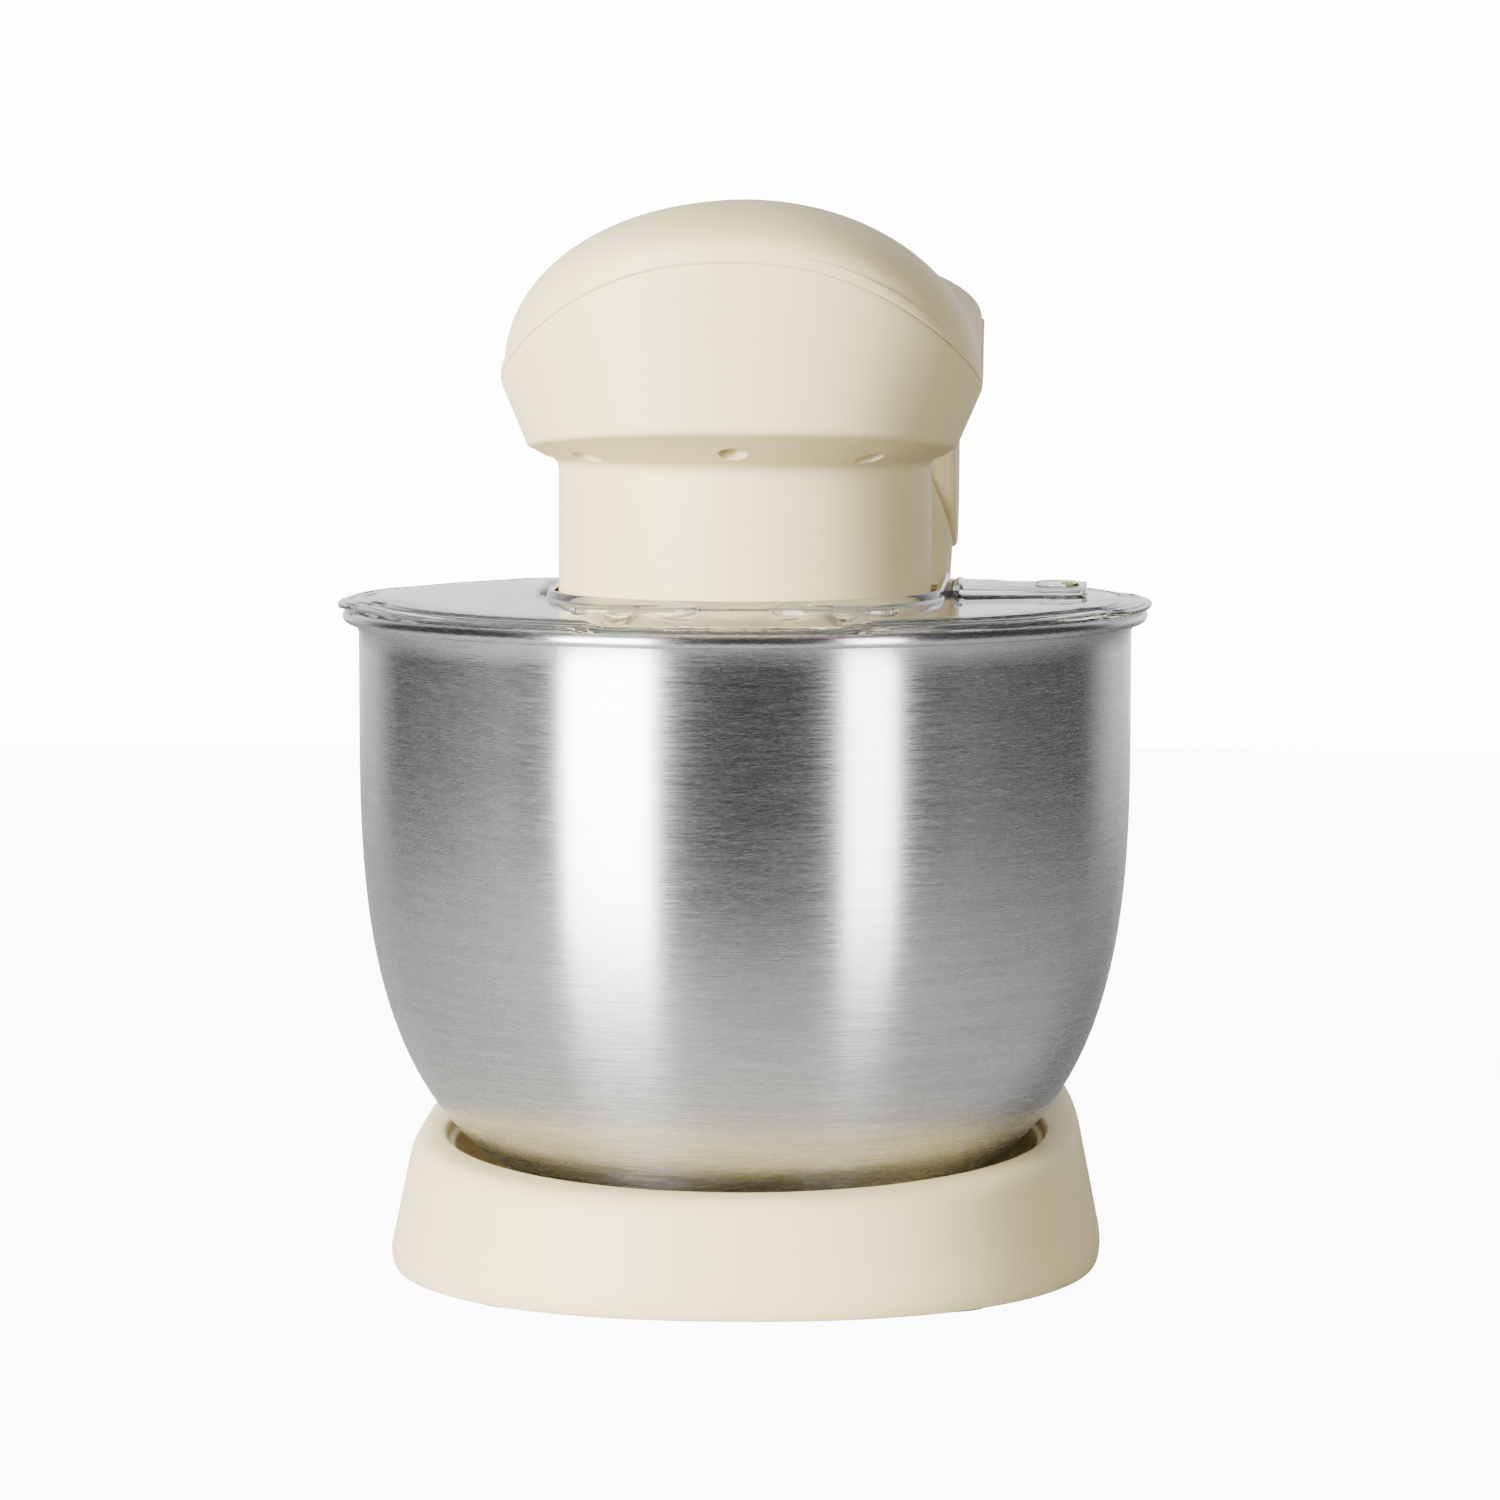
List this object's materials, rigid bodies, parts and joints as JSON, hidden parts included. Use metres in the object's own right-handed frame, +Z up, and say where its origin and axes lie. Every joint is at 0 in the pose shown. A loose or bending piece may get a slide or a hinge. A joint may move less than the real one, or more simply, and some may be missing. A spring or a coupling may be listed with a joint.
{
  "type": "stand mixer",
  "caption": "Tilt-head kitchen stand mixer with a cream plastic head and column, a brushed steel bowl, a clear splash guard and a planetary dough hook.",
  "frame": {"origin": "on the ground at the middle of the footprint", "axes": "+Z up, -Y is the front, where the head and bowl are, +X is to the right of a person facing the back"},
  "size_m": [0.23, 0.318, 0.3022],
  "materials": {
    "cream_plastic": "satin moulded",
    "brushed_steel": "brushed round the bowl",
    "bright_steel": "ground and polished",
    "clear_plastic": "clear moulded plastic",
    "rubber": "matte",
    "dark_plastic": "matte",
    "nylon": "moulded",
    "die_cast": "as cast",
    "laminated_steel": "stacked laminations",
    "copper": "enamelled wire and copper bars",
    "brass": "machined",
    "circuit_board": "lacquered board"
  },
  "bodies": {
    "stand": {"base_housing": "cream_plastic", "base_plate": "dark_plastic", "foot_front_left": "rubber", "foot_front_right": "rubber", "foot_rear_left": "rubber", "foot_rear_right": "rubber", "bowl_seat": "nylon", "hinge_bracket": "die_cast", "hinge_bush_left": "brass", "hinge_bush_right": "brass", "tilt_spring": "bright_steel", "dial_bezel": "die_cast", "speed_switch": "dark_plastic", "control_board": "circuit_board", "cord_grommet": "rubber", "latch_spring": "bright_steel"},
    "release": {"release_lever": "cream_plastic", "latch_pawl": "die_cast"},
    "dial": {"speed_dial": "cream_plastic", "dial_spindle": "bright_steel"},
    "bowl": {"bowl": "brushed_steel", "bowl_foot_ring": "brushed_steel"},
    "head": {"top_cover": "cream_plastic", "lower_housing": "cream_plastic", "head_bracket": "die_cast", "hinge_pin": "bright_steel", "splash_guard": "clear_plastic", "gearbox_housing": "die_cast", "ring_gear": "nylon", "carrier_bearing": "bright_steel", "motor_stator": "laminated_steel", "field_coil_upper": "copper", "field_coil_lower": "copper", "brush_holder_left": "dark_plastic", "brush_holder_right": "dark_plastic", "motor_bearing_front": "bright_steel", "motor_bearing_rear": "bright_steel", "motor_cradle": "die_cast", "cover_screw_left": "bright_steel", "cover_screw_front": "bright_steel", "cover_screw_right": "bright_steel"},
    "flap": {"filler_flap": "clear_plastic"},
    "rotor": {"motor_shaft": "bright_steel", "armature_core": "laminated_steel", "commutator": "copper", "cooling_fan": "dark_plastic", "worm": "brass"},
    "idler": {"layshaft": "bright_steel", "worm_wheel": "nylon"},
    "carrier": {"planet_hub": "die_cast", "carrier_shaft": "bright_steel", "carrier_gear": "nylon"},
    "tool": {"planet_pinion": "nylon", "tool_shaft": "bright_steel", "dough_hook": "die_cast"}
  },
  "joints": [
    {"name": "head_tilt", "type": "hinge", "parent": "stand", "child": "head", "pos_m": [0, 0.121, 0.231], "axis": [-1, 0, 0], "range_deg": [0, 35]},
    {"name": "carrier_spin", "type": "hinge", "parent": "head", "child": "carrier", "pos_m": [0, -0.044, 0.2], "axis": [0, 0, 1], "continuous": true},
    {"name": "tool_spin", "type": "hinge", "parent": "carrier", "child": "tool", "pos_m": [-0.024, -0.044, 0.2], "axis": [0, 0, 1], "continuous": true},
    {"name": "idler_spin", "type": "hinge", "parent": "head", "child": "idler", "pos_m": [-0.0253, -0.02474, 0.24], "axis": [0, 0, 1], "continuous": true},
    {"name": "rotor_spin", "type": "hinge", "parent": "head", "child": "rotor", "pos_m": [0, -0.044, 0.261], "axis": [0, 1, 0], "continuous": true},
    {"name": "flap_open", "type": "hinge", "parent": "head", "child": "flap", "pos_m": [0.06, -0.044, 0.1924], "axis": [0, -1, 0], "range_deg": [0, 95]},
    {"name": "bowl_twist", "type": "hinge", "parent": "stand", "child": "bowl", "pos_m": [0, -0.044, 0.02], "axis": [0, 0, 1], "range_deg": [0, 30]},
    {"name": "dial_turn", "type": "hinge", "parent": "stand", "child": "dial", "pos_m": [0.06, 0.114, 0.095], "axis": [1, 0, 0], "range_deg": [-30, 210]},
    {"name": "release_turn", "type": "hinge", "parent": "stand", "child": "release", "pos_m": [-0.06, 0.108, 0.16], "axis": [1, 0, 0], "range_deg": [0, 25], "stiffness_Nm_per_rad": 0.6, "springref_deg": -17.19}
  ],
  "couplings": [
    {"joint": "tool_spin", "follows": "carrier_spin", "ratio": -2.5},
    {"joint": "idler_spin", "follows": "carrier_spin", "ratio": -3.2},
    {"joint": "rotor_spin", "follows": "carrier_spin", "ratio": -96}
  ]
}
